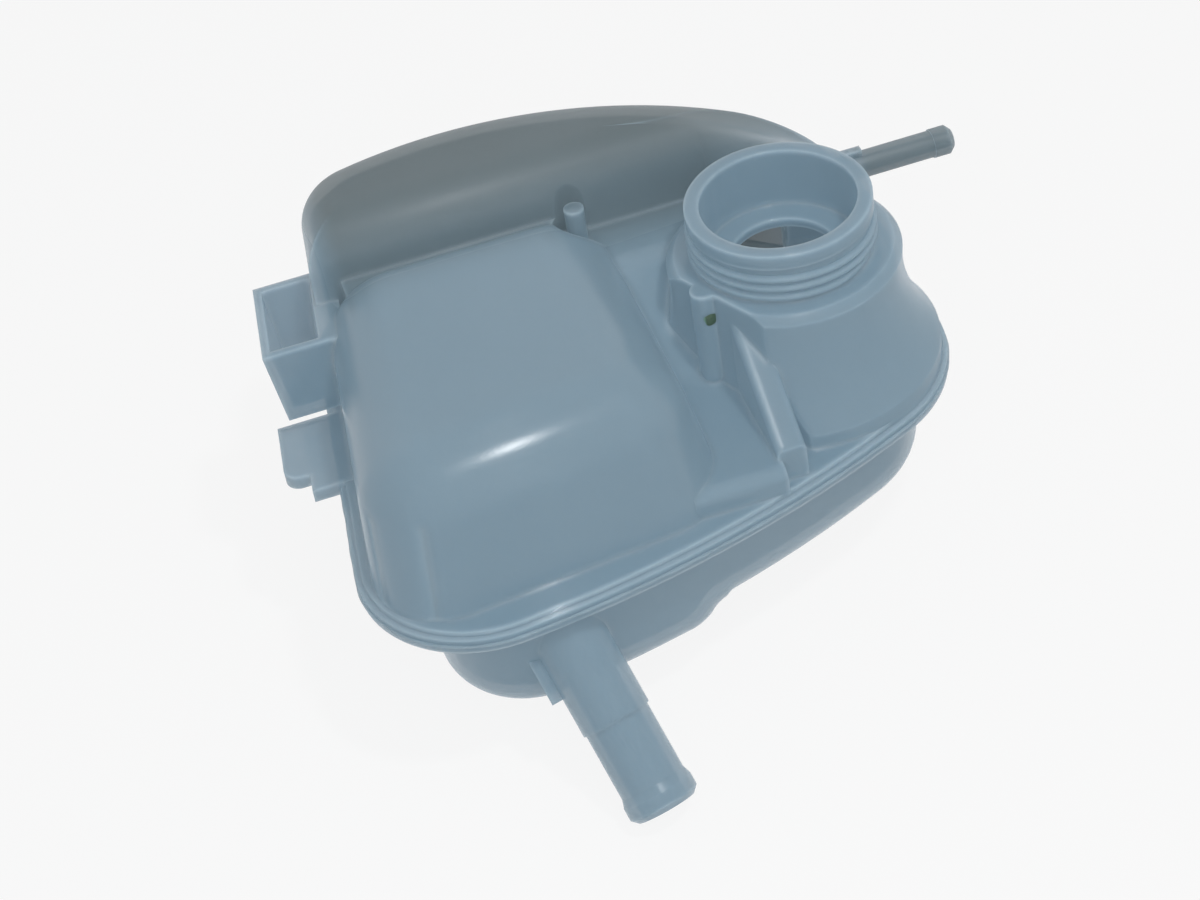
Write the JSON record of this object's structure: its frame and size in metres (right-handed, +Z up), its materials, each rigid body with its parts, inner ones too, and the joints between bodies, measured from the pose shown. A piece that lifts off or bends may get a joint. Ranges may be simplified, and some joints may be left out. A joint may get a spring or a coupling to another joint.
{
  "type": "coolant expansion tank",
  "caption": "Milky moulded coolant expansion tank: lobed upper half welded to a stepped bowl, threaded filler neck, slanted hose outlet, thin bleed spigot and a hanging pocket.",
  "frame": {"origin": "centre of the filler neck's rim, on the neck's axis", "axes": "+Z up out of the filler neck, +X from the wide end to the neck end, +Y from the outlet's side to the hump"},
  "size_m": [0.2026, 0.1831, 0.1153],
  "materials": {
    "shell_plastic": "translucent milky moulding with a satin skin"
  },
  "bodies": {
    "root": {"upper_shell": "shell_plastic", "lower_shell": "shell_plastic"}
  },
  "joints": []
}
